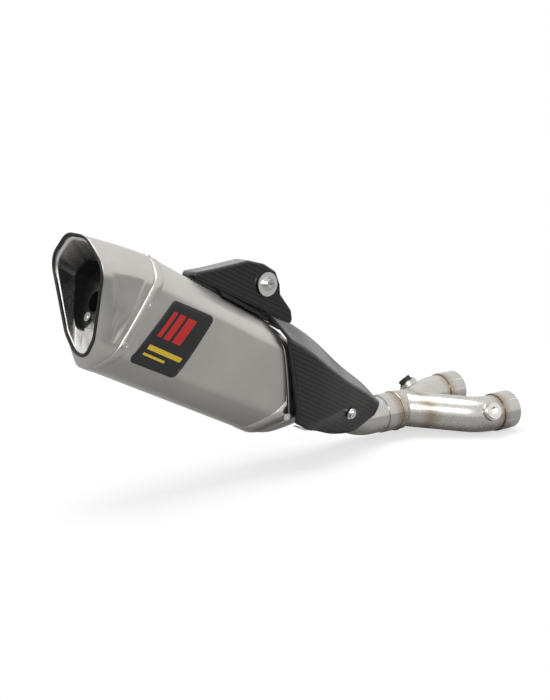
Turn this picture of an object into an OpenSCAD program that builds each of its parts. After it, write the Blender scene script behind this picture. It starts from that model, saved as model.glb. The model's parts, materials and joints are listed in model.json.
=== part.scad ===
// Racing exhaust: two link pipes joined in a Y, and a hexagonal silencer hung from a carbon bracket.
// +X points forward to the engine, +Y inward to the machine, +Z up; origin: mouth of the outer inlet.

/* [Link pipes] */
// Outside diameter of every exhaust pipe
pipe_d = 48; // [42:0.5:54]
// Wall of the pipes
pipe_wall = 1.2; // [1:0.1:2]
// Distance between the two inlets, across the machine
inlet_gap = 105; // [95:1:125]
// Height of the inner inlet above the outer one
inlet_rise = 6; // [0:0.5:12]
// Length of each flared inlet sleeve
sleeve_len = 28; // [24:1:36]
// Wall of the inlet sleeves
sleeve_wall = 1.4; // [1.2:0.1:2]
// How deep the engine's own pipe goes into each inlet sleeve
inlet_depth = 20; // [16:0.5:22]
// Width of the clamping slits in the inlet sleeves
slit_w = 1.6; // [1:0.1:2.5]
// Length of the clamping slits
slit_len = 14; // [8:0.5:16]
// Radius of the bends behind the inlets
branch_bend_r = 58; // [50:1:66]
// Distance from the inlets back to where the branches meet
merge_back = 130; // [126:1:145]

/* [Sensor bosses] */
// How far back along the bend the outer boss stands
outer_boss_turn = 15; // [12:1:20]
// How far the outer boss is tilted up
outer_boss_tilt = 30; // [0:1:40]
// Diameter of the sensor bosses
boss_d = 25; // [23:0.5:28]
// Height of the bosses above the pipe
boss_h = 5; // [3:0.5:8]
// Thread diameter of the blanking plugs
plug_d = 18; // [14:0.5:20]
// Diameter of the socket plug's rim
plug_rim_d = 21; // [20.5:0.5:22.5]
// Distance of the inner boss from the meeting point of the branches
inner_boss_run = 56; // [40:1:64]
// Width across the flats of the hexagon plug
plug_hex = 17; // [15:0.5:19]

/* [Slip joint] */
// Length of link pipe inside the silencer's socket
spigot_len = 20; // [14:1:26]
// Wall of the socket
socket_wall = 1.4; // [1.2:0.1:2]
// Radial fit of pipes in sleeves and sockets
fit = 0.08; // [0.05:0.01:0.1]
// Thickness of the graphite ring between the pipes
gasket_t = 3; // [2:0.5:4]

/* [Silencer] */
// Pitch of the silencer, tail up
pitch = 28; // [24:0.5:32]
// Roll of the silencer, top towards the machine
roll = 4; // [0:0.5:8]
// Length of the outer sleeve on its axis
sleeve_body_len = 257; // [250:1:264]
// Wall of the titanium sheets
sheet = 1.3; // [1:0.1:1.6]
// Slant of the rear seam from square
seam_slant = 9; // [5:0.5:12]
// Slant of the front edge from square, lower corner forward
front_slant = 33; // [29:0.5:36]
// Thickness of the riveted bands
band_t = 0.6; // [0.4:0.1:1.2]
// Width of the riveted bands
band_w = 12; // [11:0.5:14]
// Height of the inlet pipe's axis above the silencer's axis
inlet_up = 8; // [4:0.5:12]
// Distance from the rear seam to the bend in the inlet pipe
inlet_fwd = 425; // [421:1:432]
// Radius of the bend in the inlet pipe
inlet_bend_r = 75; // [65:1:80]
// Length of the front cone on its axis
cone_len = 93; // [86:1:100]

/* [Outlet] */
// Distance from the rear seam to the outlet rim, on the axis
rim_back = 54; // [50:1:60]
// Slant of the outlet rim from square, top to the rear
rim_slant = 26; // [22:0.5:30]
// Turn of the outlet rim towards the outside
rim_turn = 7; // [3:0.5:10]
// Distance from the rear seam to the throat
throat_back = 33; // [31:0.5:36]
// Distance from the rear seam to the throat plate
plate_back = 20; // [18:0.5:22]
// Outside diameter of the noise damper's pipe
damper_d = 28; // [24:0.5:32]
// Length of the noise damper
damper_len = 92; // [60:1:120]
// Diameter of the noise damper's flange
damper_flange_d = 38; // [36:0.5:40]

// Thickness of the end cap
cap_sheet = 2; // [1.6:0.1:2.6]
// Depth of the recesses in the end cap's flanks
recess_deep = 1; // [0.5:0.1:1.2]

/* [Bracket] */
// Distance of the bracket's face from the silencer's mid plane
bracket_out = 8; // [6:0.5:12]
// Depth of the bracket shell
bracket_deep = 26; // [22:1:32]
// Thickness of the carbon parts
carbon_t = 2.4; // [1.8:0.1:3]
// Distance from the rear seam to the hanger bolt
hanger_fwd = 197; // [193:1:201]
// Height of the hanger bolt above the silencer's axis
hanger_up = 113; // [110:0.5:116]
// Diameter of the hanger bolt
hanger_d = 8; // [6:0.5:10]
// Length of the hanger bolt under its head
hanger_len = 56; // [50:1:70]
// Diameter of the flanged collar
collar_d = 30; // [28:0.5:33]

/* [Heat shield] */
// Distance of the shield's bolt ahead of the sleeve
shield_bolt_ahead = 113; // [104:1:120]
// Height of the shield's bolt above the silencer's axis
shield_bolt_up = 5; // [2:0.5:8]
// Diameter of the shield's bolt
shield_bolt_d = 6; // [5:0.5:7]

// Thickness of the heat shield
shield_t = 2.2; // [1.6:0.1:2.6]

/* [Rivets] */
// Shank diameter of the blind rivets
rivet_d = 4.8; // [4:0.1:6]
// Head diameter of the blind rivets
rivet_head_d = 9.5; // [8:0.1:11]
// Height of the rivet heads
rivet_head_h = 1.6; // [1:0.1:2.2]

/* [Hidden] */
$fn = 64;
clear = 0.3;
pr = pipe_d / 2;
bore_r = pr - pipe_wall;
titanium = "#a39d97";
steel = "#b3aea8";
dark = "#1c1c1e";
carbon = "#2b2b2e";

// Meeting point of the two branches, and the frame of the silencer behind it.
join_y = 68;
join_z = 8.5;
joint_x = -merge_back - 23;
bend_x = joint_x - 58;
bend_len = inlet_bend_r * tan(pitch / 2);
merge_at = [-merge_back, join_y, join_z];

// The bends end just behind the inlet sleeves.
outer_turn = atan(join_y / (merge_back - sleeve_len - 20));
bend_run = 3;
outer_elbow = [-sleeve_len - bend_run - branch_bend_r * tan(outer_turn / 2), 0, 0];
inner_at = [0, inlet_gap, inlet_rise];
inner_turn = atan((inlet_gap - join_y) / (merge_back - sleeve_len - 10));
inner_elbow = inner_at - [sleeve_len + bend_run + branch_bend_r * tan(inner_turn / 2), 0, 0];

module on_silencer() {
    translate([bend_x, join_y, join_z])
        rotate([-roll, pitch, 0])
            translate([-inlet_fwd, 0, -inlet_up])
                children();
}

// ---- vectors and outlines ----
function unit(v) = v / norm(v);
function left_of(a, b) = let (d = unit(b - a)) [-d[1], d[0]];
// Turns for rotate() that carry X, Y and Z onto a, b and c.
function euler(a, b, c) =
    abs(a[2]) > 0.9999 ? [atan2(-sign(a[2]) * b[0], b[1]), -90 * sign(a[2]), 0]
                       : [atan2(b[2], c[2]), -asin(a[2]), atan2(a[1], a[0])];

// Rotation that takes +Z onto v, with +X kept as near as it can be to the vector side.
function aim(v, side) = let (c = unit(v), b = unit(cross(c, side)), a = cross(b, c)) euler(a, b, c);

// Arc of n steps that rounds the corner p between q and s.
function corner(p, q, s, r, n) =
    let (u = unit(q - p), v = unit(s - p), half = acos(u * v) / 2,
         d = min(r / tan(half), 0.48 * norm(q - p), 0.48 * norm(s - p)),
         rr = d * tan(half), c = p + unit(u + v) * rr / sin(half),
         from = p + u * d - c, to = p + v * d - c,
         a0 = atan2(from[1], from[0]), a1 = atan2(to[1], to[0]),
         turn = (a1 - a0 + 540) % 360 - 180)
    [for (k = [0:n]) c + rr * [cos(a0 + turn * k / n), sin(a0 + turn * k / n)]];

// Closed outline with every corner rounded.
function rounded(p, r, n) =
    let (m = len(p))
    [for (i = [0:m - 1]) for (q = corner(p[i], p[(i + m - 1) % m], p[(i + 1) % m], r, n)) q];

// Open line with its inner corners rounded.
function rounded_line(p, r, n) =
    concat([p[0]], [for (i = [1:len(p) - 2]) for (q = corner(p[i], p[i - 1], p[i + 1], r, n)) q],
           [p[len(p) - 1]]);

// Outline moved to its left by d; a closed one that runs anticlockwise shrinks.
function inset(p, d) =
    let (m = len(p))
    [for (i = [0:m - 1])
        let (a = left_of(p[(i + m - 1) % m], p[i]), b = left_of(p[i], p[(i + 1) % m]))
        p[i] + d * (a + b) / (1 + a * b)];

function inset_line(p, d) =
    let (m = len(p) - 1)
    [for (i = [0:m])
        let (a = left_of(p[max(i - 1, 0)], p[max(i, 1)]), b = left_of(p[min(i, m - 1)], p[min(i + 1, m)]))
        p[i] + d * (a + b) / (1 + a * b)];

// Outline of [y, z] points put on a plane across the axis, slanted with z and turned with y.
function station(x, slant, turn, p) = [for (q = p) [x + tan(slant) * q[1] + tan(turn) * q[0], q[0], q[1]]];

// Hexagonal outline: half widths, heights and half flats at the top and at the bottom.
function hexagon(w_top, w_low, top, low, side_top, side_low, crown, keel) =
    [[w_top, side_top], [crown, top], [-crown, top], [-w_top, side_top],
     [-w_low, side_low], [-keel, low], [keel, low], [w_low, side_low]];

function shifted(p, y) = [for (q = p) q + [y, 0]];

// ---- solids between outlines ----
function skin(first, rings, n, flip) =
    [for (i = [0:rings - 2]) for (j = [0:n - 1]) for (h = [0, 1])
        let (a = first + i * n + j, b = first + i * n + (j + 1) % n, t = h == 0 ? [a, a + n, b + n] : [a, b + n, b])
        flip ? [t[0], t[2], t[1]] : t];

module solid_loft(rings) {
    n = len(rings[0]);
    last = (len(rings) - 1) * n;
    polyhedron([for (r = rings) for (p = r) p],
               concat(skin(0, len(rings), n, false),
                      [[for (j = [0:n - 1]) j]],
                      [[for (j = [n - 1:-1:0]) last + j]]));
}

module shell_loft(outer, inner) {
    n = len(outer[0]);
    m = len(outer);
    far = (m - 1) * n;
    in = m * n;
    polyhedron([for (r = concat(outer, inner)) for (p = r) p],
               concat(skin(0, m, n, false), skin(in, m, n, true),
                      [for (j = [0:n - 1]) for (h = [0, 1]) let (k = (j + 1) % n)
                          h == 0 ? [j, k, in + k] : [j, in + k, in + j]],
                      [for (j = [0:n - 1]) for (h = [0, 1]) let (k = (j + 1) % n)
                          h == 0 ? [far + j, in + far + k, far + k] : [far + j, in + far + j, in + far + k]]));
}

// ---- round stock ----
// Straight round bar from a to b.
module bar(a, b, r, over = 0) {
    d = unit(b - a);
    side = abs(d[2]) > 0.9 ? [1, 0, 0] : [0, 0, 1];
    translate(a - d * over)
        rotate(aim(d, side))
            cylinder(r = r, h = norm(b - a) + 2 * over);
}

// Straight tube from a to b.
module tube(a, b, r_out, r_in) {
    difference() {
        bar(a, b, r_out);
        bar(a, b, r_in, 1);
    }
}

function bend_back(u, v, bend_r) = bend_r * tan(acos(u * v) / 2);

// Sweeps a round outline through the bend at p between the directions u and v.
module bend_sweep(p, u, v, bend_r) {
    inward = unit(v - u * (u * v));
    translate(p - u * bend_back(u, v, bend_r) + inward * bend_r)
        rotate(euler(-inward, u, cross(-inward, u)))
            rotate_extrude(angle = acos(u * v))
                translate([bend_r, 0])
                    children();
}

module elbow(p, u, v, bend_r) {
    bend_sweep(p, u, v, bend_r)
        difference() {
            circle(pr);
            circle(bore_r);
        }
}

// Half space in front of the plane through p, square to n.
module half_space(p, n) {
    translate(p)
        rotate(aim(n, abs(n[2]) > 0.9 * norm(n) ? [1, 0, 0] : [0, 0, 1]))
            translate([-100, -100, 0])
                cube([200, 200, 200]);
}
// ---- link pipes: three pipes of one bore, mitred where they meet ----
weld_gap = 0.02;
branch_end = sleeve_len + weld_gap;
spigot_x = joint_x - spigot_len / 2;
forward = [1, 0, 0];
outer_dir = unit(outer_elbow - merge_at);
inner_dir = unit(inner_elbow - merge_at);
inner_boss_dir = unit([-0.3, 0.62, 0.72]);
inner_boss_at = merge_at + inner_dir * inner_boss_run;

// The outer boss stands on the outside of the bend, turned back along it and tilted up.
outer_back = bend_back(outer_dir, forward, branch_bend_r);
outer_inward = unit([0, -outer_dir[1], -outer_dir[2]]);
outer_out = -outer_inward * cos(outer_boss_turn) - forward * sin(outer_boss_turn);
outer_boss_dir = outer_out * cos(outer_boss_tilt) + cross(forward, outer_inward) * sin(outer_boss_tilt);
outer_boss_at = outer_elbow + forward * outer_back + outer_inward * branch_bend_r + outer_out * branch_bend_r;

module boss_bore(at, dir) {
    bar(at, at + dir * (pr + boss_h + 20), plug_d / 2);
}

// Cuts one leg of the Y back to its mitres against the spigot and the other leg.
module mitred(own, other) {
    difference() {
        children();
        half_space(merge_at + own * weld_gap, -own - forward);
        half_space(merge_at + own * weld_gap, other - own);
    }
}

module link_spigot() {
    color(steel)
        difference() {
            tube([spigot_x, join_y, join_z], merge_at + forward * 30, pr, bore_r);
            half_space(merge_at - forward * weld_gap, outer_dir + forward);
            half_space(merge_at - forward * weld_gap, inner_dir + forward);
        }
}

module branch(own, other, elbow_at) {
    bend_at = elbow_at - own * (bend_back(own, forward, branch_bend_r) + weld_gap);
    color(steel)
        mitred(own, other)
            tube(merge_at - own * 30, bend_at, pr, bore_r);
}

module outer_branch() {
    branch(outer_dir, inner_dir, outer_elbow);
}

module inner_branch() {
    difference() {
        branch(inner_dir, outer_dir, inner_elbow);
        boss_bore(inner_boss_at, inner_boss_dir);
    }
}

module branch_bend(dir, elbow_at) {
    back = bend_back(dir, forward, branch_bend_r);
    end = [-branch_end, elbow_at[1], elbow_at[2]];
    color("#8f857c") {
        elbow(elbow_at, dir, forward, branch_bend_r);
        tube(elbow_at + forward * (back + weld_gap), end, pr, bore_r);
    }
}

module outer_bend() {
    difference() {
        branch_bend(outer_dir, outer_elbow);
        boss_bore(outer_boss_at, outer_boss_dir);
    }
}

module inner_bend() {
    branch_bend(inner_dir, inner_elbow);
}

module inlet_sleeve(at) {
    color(steel)
        difference() {
            bar(at - [sleeve_len, 0, 0], at, pr + fit + sleeve_wall);
            bar(at - [sleeve_len, 0, 0], at, bore_r, 1);
            bar(at - [inlet_depth, 0, 0], at + [1, 0, 0], pr + fit);
            for (a = [40, 220])
                translate(at - [slit_len, 0, 0])
                    rotate([a, 0, 0])
                        translate([0, -slit_w / 2, pr - 2])
                            cube([slit_len + 1, slit_w, sleeve_wall + 4]);
        }
}

module sleeve_outer() {
    inlet_sleeve([0, 0, 0]);
}

module sleeve_inner() {
    inlet_sleeve(inner_at);
}

// Boss cut to sit on the pipe that is given as its child.
module boss(at, dir) {
    color(steel)
        difference() {
            bar(at + dir * (pr - 4), at + dir * (pr + boss_h), boss_d / 2);
            boss_bore(at, dir);
            children();
        }
}

module boss_outer() {
    boss(outer_boss_at, outer_boss_dir)
        bend_sweep(outer_elbow, outer_dir, forward, branch_bend_r)
            circle(pr + weld_gap);
}

module boss_inner() {
    boss(inner_boss_at, inner_boss_dir)
        bar(inner_boss_at - inner_dir * 40, inner_boss_at + inner_dir * 40, pr + weld_gap);
}

// Socket plug of the outer boss, screwed in to its rim.
module plug_outer() {
    seat = outer_boss_at + outer_boss_dir * (pr + boss_h);
    color("#8d8a86")
        difference() {
            union() {
                bar(seat - outer_boss_dir * (boss_h + 2), seat + outer_boss_dir, plug_d / 2 - 0.05);
                bar(seat, seat + outer_boss_dir * 3, plug_rim_d / 2);
            }
            translate(seat - outer_boss_dir * 4)
                rotate(aim(outer_boss_dir, [0, 0, 1]))
                    cylinder(d = 10 / cos(30), h = 10, $fn = 6);
        }
}

// Hexagon plug of the inner boss.
module plug_inner() {
    seat = inner_boss_at + inner_boss_dir * (pr + boss_h);
    color(dark) {
        bar(seat - inner_boss_dir * (boss_h + 2), seat + inner_boss_dir, plug_d / 2 - 0.05);
        bar(seat, seat + inner_boss_dir * 2, plug_rim_d / 2);
        translate(seat + inner_boss_dir)
            rotate(aim(inner_boss_dir, [0, 0, 1]))
                cylinder(d = plug_hex / cos(30), h = 6.5, $fn = 6);
    }
}

// Weld bead round the pipe where the branches begin.
module merge_weld() {
    color("#8a8078")
        translate([-merge_back - 11, join_y, join_z])
            rotate([0, 90, 0])
                rotate_extrude()
                    difference() {
                        translate([pr + 0.4, 0])
                            circle(1.4, $fn = 24);
                        translate([0, -3])
                            square([pr + weld_gap, 6]);
                    }
}
// ---- slip joint ----
socket_r = pr + fit + socket_wall;
socket_end = joint_x + spigot_len / 2;
gasket_x = spigot_x - gasket_t - clear;

module joint_gasket() {
    color("#3a3a3c")
        difference() {
            bar([gasket_x, join_y, join_z], [gasket_x + gasket_t, join_y, join_z], pr - clear);
            bar([gasket_x, join_y, join_z], [gasket_x + gasket_t, join_y, join_z], bore_r, 1);
        }
}

module joint_socket() {
    start = gasket_x - clear - 8;
    color(steel)
        difference() {
            union() {
                bar([start, join_y, join_z], [socket_end, join_y, join_z], socket_r);
                translate([joint_x + 3, join_y, join_z])
                    rotate([0, 90, 0])
                        rotate_extrude()
                            translate([socket_r, 0])
                                circle(1.4, $fn = 24);
            }
            bar([start, join_y, join_z], [socket_end, join_y, join_z], pr + fit, 1);
        }
}

// Inlet pipe of the silencer: level from the socket, then up along the silencer's axis.
inlet_from = gasket_x - clear;
inlet_inside = sleeve_body_len + 12;
axis_back = [-cos(pitch), 0, sin(pitch)];
bend_at = [bend_x, join_y, join_z];
inlet_bend_back = bend_back(-forward, axis_back, inlet_bend_r);

module inlet_pipe() {
    color(steel)
        tube(bend_at + axis_back * (inlet_bend_back + weld_gap),
             bend_at + axis_back * (inlet_fwd - inlet_inside), pr, bore_r);
}

module inlet_bend() {
    color(steel) {
        elbow(bend_at, -forward, axis_back, inlet_bend_r);
        tube(bend_at + forward * (inlet_bend_back + weld_gap), [inlet_from, join_y, join_z], pr, bore_r);
    }
}

// ---- silencer body ----
corner_r = 24;
steps = 5;
rear_hex = hexagon(51, 46, 80, -68, 54, -41, 16, 14);
front_hex = hexagon(47, 41, 71, -63.5, 50, -33, 15, 11);

function body_ring(x, slant, d) =
    let (t = x / sleeve_body_len, p = rear_hex + (front_hex - rear_hex) * t)
    station(x, slant, 0, rounded(inset(p, d), corner_r - d, steps));

module body_shell(x0, slant0, x1, slant1, outer, inner) {
    shell_loft([body_ring(x0, slant0, outer), body_ring(x1, slant1, outer)],
               [body_ring(x0, slant0, inner), body_ring(x1, slant1, inner)]);
}

module sleeve_body() {
    color(titanium)
        on_silencer()
            difference() {
                body_shell(clear, seam_slant, sleeve_body_len, -front_slant, 0, sheet);
                rivet_holes();
            }
}

module band(start, slant) {
    color(titanium)
        on_silencer()
            difference() {
                body_shell(start, slant, start + band_w, slant, -0.15 - band_t, -0.15);
                rivet_holes();
            }
}

module rear_band() {
    band(clear + 1, seam_slant);
}

module front_band() {
    band(sleeve_body_len - band_w - 1, -front_slant);
}

// Cone from the slanted front edge to a round neck on the inlet pipe.
function with_flats(p) =
    [for (i = [0:len(p) - 1])
        let (to = p[(i + 1) % len(p)] - p[i])
        each i % (steps + 1) == steps ? [for (k = [0:3]) p[i] + to * k / 4] : [p[i]]];

function cone_ring(t, d) =
    let (start = with_flats(body_ring(sleeve_body_len + clear, -front_slant, d)), ease = t * t * (3 - 2 * t))
    [for (p = start)
        let (away = unit([p[1], p[2] - inlet_up]), r = pr + sheet + 0.5 - d,
             neck = [sleeve_body_len + cone_len, away[0] * r, inlet_up + away[1] * r])
        [p[0] + (neck[0] - p[0]) * t, p[1] + (neck[1] - p[1]) * ease, p[2] + (neck[2] - p[2]) * ease]];

module front_cone() {
    color(titanium)
        on_silencer()
            shell_loft([for (k = [0:6]) cone_ring(k / 6, 0)], [for (k = [0:6]) cone_ring(k / 6, sheet)]);
}

module cone_weld() {
    color("#8a8078")
        on_silencer()
            translate([sleeve_body_len + cone_len + 1.5 + clear, 0, inlet_up])
                rotate([0, 90, 0])
                    rotate_extrude()
                        translate([pr + 1.2, 0])
                            circle(1.1, $fn = 24);
}
// ---- inside the silencer ----
core_from = clear - plate_back;
core_to = inlet_inside - clear;

module core_tube() {
    color("#8f8b86")
        on_silencer()
            difference() {
                bar([core_from, 0, inlet_up], [core_to, 0, inlet_up], pr);
                bar([core_from, 0, inlet_up], [core_to, 0, inlet_up], bore_r, 1);
                for (i = [0:6])
                    for (a = [0:60:300])
                        translate([40 + 28 * i, 0, inlet_up])
                            rotate([a + 30 * (i % 2), 0, 0])
                                cylinder(d = 6, h = pr + 2);
            }
}

module packing() {
    color("#c9b98a")
        on_silencer()
            difference() {
                solid_loft([body_ring(band_w + 5.3, seam_slant, sheet + clear),
                            body_ring(sleeve_body_len - 26, -front_slant, sheet + clear)]);
                bar([-60, 0, inlet_up], [sleeve_body_len + 60, 0, inlet_up], pr + clear);
            }
}

module end_plate(x, slant) {
    color("#8f8b86")
        on_silencer()
            difference() {
                solid_loft([body_ring(x, slant, sheet + 0.2), body_ring(x + 2, slant, sheet + 0.2)]);
                bar([-60, 0, inlet_up], [sleeve_body_len + 60, 0, inlet_up], pr + fit);
            }
}

module rear_plate() {
    end_plate(band_w + 3, seam_slant);
}

module front_plate() {
    end_plate(sleeve_body_len - 25, -front_slant);
}

// ---- end cap, funnel and throat ----
rim_hex = hexagon(46.5, 25, 67, -58, 38, -38, 16, 10);
rim_out = 10;
rim_corner = 26;
throat_hex = hexagon(32, 20, 49, -27, 34, -12, 15, 9);

function rim_ring(d, back = 0) =
    station(-rim_back - back, -rim_slant, -rim_turn,
            rounded(shifted(inset(rim_hex, d), -rim_out), rim_corner - d, steps));

function cap_ring(t, d) =
    let (a = body_ring(0, seam_slant, d), b = rim_ring(d), bow = 1.5 * sin(180 * t))
    [for (i = [0:len(a) - 1])
        let (p = a[i] + (b[i] - a[i]) * t, out = unit([p[1], p[2]]))
        p + [0, out[0] * bow, out[1] * bow]];

module cap_shell(outer, inner) {
    shell_loft([for (k = [4:-1:0]) cap_ring(k / 4, outer)], [for (k = [4:-1:0]) cap_ring(k / 4, inner)]);
}

// Outline of [x, z] points pressed through one flank.
module flank_prism(p, side) {
    rotate([90, 0, 0])
        translate([0, 0, side > 0 ? -90 : 30])
            linear_extrude(60)
                polygon(rounded(p, 5, 3));
}

// The two recesses in each flank, one four-sided and one three-sided, all of one depth.
module end_cap() {
    color(titanium)
        on_silencer()
            difference() {
                cap_shell(0, cap_sheet);
                for (side = [-1, 1])
                    intersection() {
                        cap_shell(-4, recess_deep);
                        union() {
                            flank_prism([[-6, 44], [-50, 37], [-34, 13], [-4, 15]], side);
                            flank_prism([[-7, -3], [-27, -5], [-14, -30]], side);
                        }
                    }
            }
}

module outlet_lip() {
    color(dark)
        on_silencer()
            shell_loft([rim_ring(-0.6, 3), rim_ring(-0.6, clear)], [rim_ring(2.4, 3), rim_ring(2.4, clear)]);
}

function throat_ring(back, d, slant) =
    station(-back, slant, 0, rounded(shifted(inset(throat_hex, d), 4), 9 - d, steps));

module outlet_funnel() {
    color("#d9d7d3")
        on_silencer()
            shell_loft([rim_ring(2.4, -0.4), throat_ring(throat_back, -1.2, -seam_slant)],
                       [rim_ring(3.8, -0.4), throat_ring(throat_back, 0, -seam_slant)]);
}

module throat_collar() {
    color(dark)
        on_silencer()
            shell_loft([throat_ring(throat_back - clear, -1.2, -seam_slant), throat_ring(plate_back + 2.5, -1.2, 0)],
                       [throat_ring(throat_back - clear, 0, -seam_slant), throat_ring(plate_back + 2.5, 0, 0)]);
}

screw_y = 1;
screw_z = inlet_up - 20;
module damper_screw_hole(r) {
    bar([-plate_back - 12, screw_y, screw_z], [-plate_back + 12, screw_y, screw_z], r);
}

module throat_plate() {
    color(dark)
        on_silencer()
            difference() {
                solid_loft([throat_ring(plate_back + 2.2, -1.2, 0), throat_ring(plate_back + 0.2, -1.2, 0)]);
                bar([-60, 0, inlet_up], [20, 0, inlet_up], damper_d / 2 + clear);
                damper_screw_hole(3.1);
            }
}

// ---- noise damper, drawn out of the throat to the rear ----
flange_x = -plate_back - 2.2 - clear;
module noise_damper() {
    color(dark)
        on_silencer()
            difference() {
                union() {
                    bar([flange_x, 0, inlet_up], [flange_x + damper_len, 0, inlet_up], damper_d / 2);
                    bar([flange_x, 0, inlet_up], [flange_x - 2, 0, inlet_up], damper_flange_d / 2);
                    bar([flange_x, screw_y, screw_z], [flange_x - 2, screw_y, screw_z], 7);
                }
                bar([flange_x - 2, 0, inlet_up], [flange_x + damper_len, 0, inlet_up], damper_d / 2 - 1.2, 1);
                bar([flange_x - 9, screw_y, screw_z], [flange_x + 9, screw_y, screw_z], 3.1);
            }
}

module damper_screw() {
    head = flange_x - 2;
    color("#c9c9c9")
        on_silencer()
            difference() {
                union() {
                    bar([head, screw_y, screw_z], [core_from - clear, screw_y, screw_z], 3);
                    bar([head - 3.5, screw_y, screw_z], [head, screw_y, screw_z], 5.6);
                }
                translate([head - 4, screw_y, screw_z])
                    rotate([0, 90, 0])
                        cylinder(d = 4.6, h = 2.6, $fn = 6);
            }
}
// ---- rivets ----
// Blind rivet whose head lies on the point p of the silencer's side, facing out.
module rivet(p, out) {
    difference() {
        union() {
            bar(p, p + out * rivet_head_h, rivet_head_d / 2);
            bar(p - out * 4, p, rivet_d / 2);
        }
        bar(p + out * (rivet_head_h - 1), p + out * (rivet_head_h + 1), rivet_d / 4);
    }
}

band_top = 0.15 + band_t + 0.05;
rear_rivet_x = 1 + clear + band_w / 2;

function flank_y(x, z) =
    let (t = x / sleeve_body_len, p = rear_hex + (front_hex - rear_hex) * t,
         u = (z - p[7][1]) / (p[0][1] - p[7][1]))
    p[7][0] + (p[0][0] - p[7][0]) * u;

function flank_out(side) = unit([0, side, -0.055]);

// Places of the rivets: point on the band and direction out.
rear_spots = [for (side = [-1, 1]) for (z = [23, -31])
    [[rear_rivet_x + tan(seam_slant) * z, side * (flank_y(0, z) + band_top), z], flank_out(side)]];
// The front ones sit on the lower rounding of each flank.
front_ring = body_ring(sleeve_body_len - 1 - band_w / 2, -front_slant, -band_top);
front_low = 4 * (steps + 1) + 2;
front_run = front_ring[front_low + 1] - front_ring[front_low - 1];
front_spot = [front_ring[front_low], unit([0, front_run[2], -front_run[1]])];
front_spots = [for (side = [-1, 1])
    [[front_spot[0][0], side * abs(front_spot[0][1]), front_spot[0][2]],
     [0, side * abs(front_spot[1][1]), -abs(front_spot[1][2])]]];
top_z = rear_hex[1][1] + band_top;
top_spots = [[[rear_rivet_x + tan(seam_slant) * top_z, 0, top_z], [0, 0, 1]]];

module rivet_holes() {
    for (spot = concat(rear_spots, front_spots, top_spots))
        bar(spot[0] - spot[1] * 8, spot[0] + spot[1] * 8, rivet_d / 2 + 0.1);
}

module rivets(spots) {
    color("#d0d0d0")
        on_silencer()
            for (spot = spots)
                rivet(spot[0], spot[1]);
}

module rear_rivets() {
    rivets(rear_spots);
}

module front_rivets() {
    rivets(front_spots);
}

module top_rivet() {
    rivets(top_spots);
}

// ---- badge: a plain slanted plate with bars and a stripe ----
flank_lean = atan((rear_hex[0][0] - rear_hex[7][0]) / (rear_hex[0][1] - rear_hex[7][1]));
flank_turn = atan((rear_hex[0][0] - front_hex[0][0]) / sleeve_body_len);

module on_flank(lift) {
    on_silencer()
        translate([61, -flank_y(61, 0) - lift, 0])
            rotate([90 + flank_lean, 0, flank_turn])
                children();
}

module badge() {
    color("#141416")
        on_flank(clear)
            linear_extrude(0.6)
                polygon(rounded([[-18, 40], [-46, -45], [25, -43], [47, 42]], 5, 4));
}

// ---- bracket ----
base_z = 80;
face_pts = [[hanger_fwd + 65, base_z], [hanger_fwd + 53, hanger_up - 15], [hanger_fwd + 28, hanger_up - 3],
            [hanger_fwd + 22, hanger_up + 8], [hanger_fwd + 9, hanger_up + 20], [hanger_fwd - 12, hanger_up + 22],
            [hanger_fwd - 37, hanger_up + 17], [hanger_fwd - 87, hanger_up - 14], [hanger_fwd - 121, base_z]];

module bracket_outline(d) {
    polygon(rounded(inset(face_pts, d), 6, 3));
}

module carbon_bracket() {
    color(carbon)
        on_silencer()
            translate([0, -bracket_out, 0])
                difference() {
                    rotate([90, 0, 0])
                        translate([0, 0, -bracket_deep])
                            linear_extrude(bracket_deep)
                                bracket_outline(0);
                    rotate([90, 0, 0])
                        translate([0, 0, -bracket_deep - 1])
                            linear_extrude(bracket_deep + 1 - carbon_t)
                                bracket_outline(carbon_t);
                    translate([hanger_fwd, -1, hanger_up])
                        rotate([-90, 0, 0])
                            cylinder(r = hang_bore, h = carbon_t + 2);
                    for (x = stud_x)
                        translate([x, stud_y + bracket_out, base_z - 1])
                            cylinder(r = stud_r + 0.1, h = carbon_t + 2);
                }
}

// The bracket stands on a rubber strip and two bosses along the crown of the sleeve.
function crown_z(x) = rear_hex[1][1] + (front_hex[1][1] - rear_hex[1][1]) * x / sleeve_body_len;
stud_x = [hanger_fwd - 77, hanger_fwd + 25];
stud_y = 2;
stud_r = 3;

module at_studs() {
    for (x = stud_x)
        translate([x, stud_y, 0])
            children();
}

pad_from = hanger_fwd - 113;
pad_to = hanger_fwd + 58;

module bracket_pad() {
    color(dark)
        on_silencer()
            difference() {
                rotate([90, 0, 0])
                    translate([0, 0, -11])
                        linear_extrude(18)
                            polygon([[pad_from, crown_z(pad_from) + clear], [pad_to, crown_z(pad_to) + clear],
                                     [pad_to, base_z - 0.1], [pad_from, base_z - 0.1]]);
                at_studs()
                    cylinder(r = stud_r + 3 + clear, h = 100);
            }
}

module bracket_bosses() {
    color(titanium)
        on_silencer()
            for (x = stud_x)
                translate([x, stud_y, crown_z(x) + clear])
                    difference() {
                        cylinder(r = stud_r + 3, h = base_z - 0.1 - crown_z(x) - clear);
                        translate([0, 0, -1])
                            cylinder(r = stud_r, h = 20);
                    }
}

module bracket_screws() {
    color("#c9c9c9")
        on_silencer()
            at_studs() {
                translate([0, 0, base_z - 3])
                    cylinder(r = stud_r - 0.05, h = 5);
                translate([0, 0, base_z + carbon_t + 0.05])
                    cylinder(r = 5.2, h = 4);
                translate([0, 0, base_z + 1])
                    cylinder(r = stud_r - 0.05, h = carbon_t);
            }
}

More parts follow.
